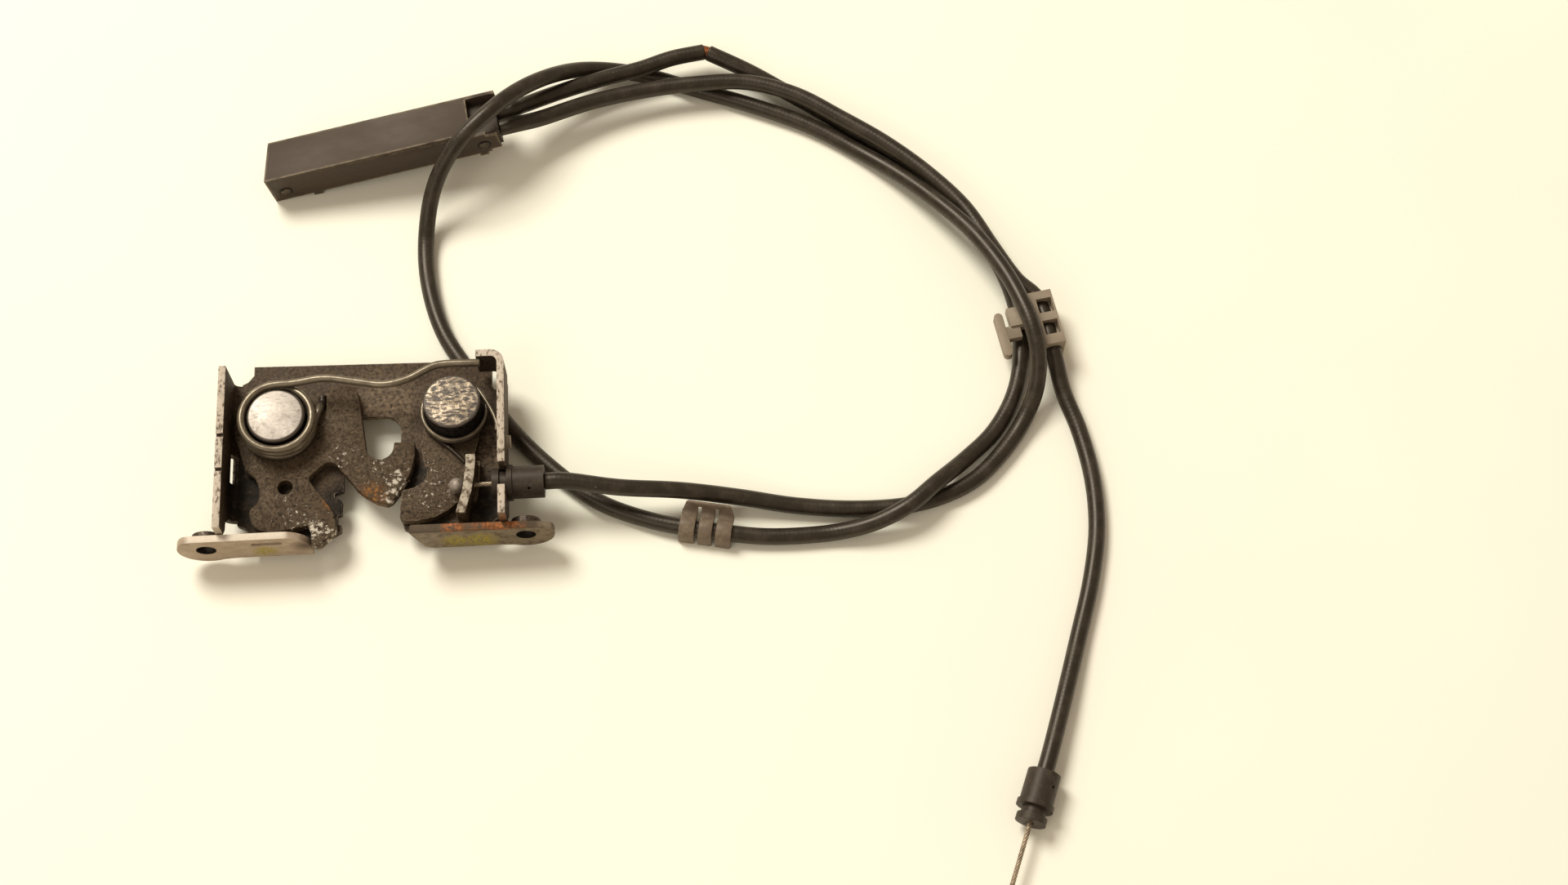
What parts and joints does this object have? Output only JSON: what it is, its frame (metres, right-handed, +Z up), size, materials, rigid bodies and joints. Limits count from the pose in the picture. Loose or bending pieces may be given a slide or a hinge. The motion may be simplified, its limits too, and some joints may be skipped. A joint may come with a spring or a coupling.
{
  "type": "bonnet latch",
  "caption": "Bonnet latch: folded steel plate with bolt ears, sprung rotary catch and sprung pawl, released by a sheathed pull cable that runs through a junction channel to a free ferrule.",
  "frame": {"origin": "midway between the two ear bolt holes, on the ears' bolting face", "axes": "+X from the catch to the pawl along the ears, +Y from the bolting face to the rear edge of the plate, +Z up from the bench through the pivots"},
  "size_m": [0.3248, 0.3503, 0.0337],
  "materials": {
    "plated_sheet": "zinc plated sheet, dulled and speckled with white corrosion",
    "worn_steel": "dark worn steel with rust and white corrosion",
    "rivet_steel": "bright scratched steel",
    "dark_steel": "dull dark steel",
    "spring_wire": "bright drawn wire with a yellow cast",
    "cable_wire": "stranded steel wire",
    "ferrule_plastic": "moulded black plastic, dusty",
    "cable_sheath": "satin black extruded sheath, dusty",
    "rusted_core": "rusted wound liner",
    "clip_plastic": "moulded grey plastic",
    "black_paint": "matt black paint, rubbed at the folds",
    "pulley_plastic": "moulded natural plastic"
  },
  "bodies": {
    "root": {"base_plate": "plated_sheet", "weld_nuts": "dark_steel", "catch_rivet": "rivet_steel", "catch_spring": "spring_wire", "pawl_rivet": "rivet_steel", "pawl_spring": "spring_wire", "pivot_washers": "rivet_steel", "latch_ferrule": "ferrule_plastic", "latch_cable": "cable_sheath", "sheath_core": "rusted_core", "junction_cable": "cable_sheath", "finger_clip": "clip_plastic", "junction_channel": "black_paint", "cable_block": "ferrule_plastic", "block_rivet": "dark_steel", "pulley_carrier": "ferrule_plastic", "carrier_pin": "dark_steel", "pulley_axle": "dark_steel", "return_wire": "cable_wire", "release_cable": "cable_sheath", "block_clip": "clip_plastic", "release_ferrule": "ferrule_plastic"},
    "catch_body": {"catch": "worn_steel"},
    "pawl_body": {"pawl": "worn_steel"},
    "latch_wire_body": {"latch_wire": "cable_wire", "latch_nipple": "cable_wire"},
    "release_wire_body": {"release_wire": "cable_wire", "release_nipple": "cable_wire"},
    "pulley_body": {"return_pulley": "pulley_plastic"}
  },
  "joints": [
    {"name": "catch_pivot", "type": "hinge", "parent": "root", "child": "catch_body", "pos_m": [-0.031, 0.0455, 0], "axis": [0, 0, 1], "range_deg": [0, 46], "stiffness_Nm_per_rad": 1.5, "springref_deg": -22.92, "deforming": ["catch_spring"]},
    {"name": "pawl_pivot", "type": "hinge", "parent": "root", "child": "pawl_body", "pos_m": [0.031, 0.047, 0], "axis": [0, 0, 1], "range_deg": [0, 9], "stiffness_Nm_per_rad": 0.28, "springref_deg": -20.05, "deforming": ["pawl_spring"]},
    {"name": "latch_wire_slide", "type": "slide", "parent": "root", "child": "latch_wire_body", "axis": [1, 0, 0], "range_m": [0, 0.0046]},
    {"name": "release_wire_slide", "type": "slide", "parent": "root", "child": "release_wire_body", "axis": [-0.3584, -0.9336, 0], "range_m": [0, 0.0046]},
    {"name": "return_pulley_spin", "type": "hinge", "parent": "root", "child": "pulley_body", "pos_m": [-0.02737, 0.15507, -0.00308], "axis": [-0.1207, -0.017, 0.9925], "range_deg": [0, 78]}
  ],
  "couplings": [
    {"joint": "latch_wire_slide", "follows": "pawl_pivot", "m_per_rad": 0.0288},
    {"joint": "release_wire_slide", "follows": "pawl_pivot", "m_per_rad": 0.0288},
    {"joint": "return_pulley_spin", "follows": "pawl_pivot", "ratio": 8.4706}
  ]
}
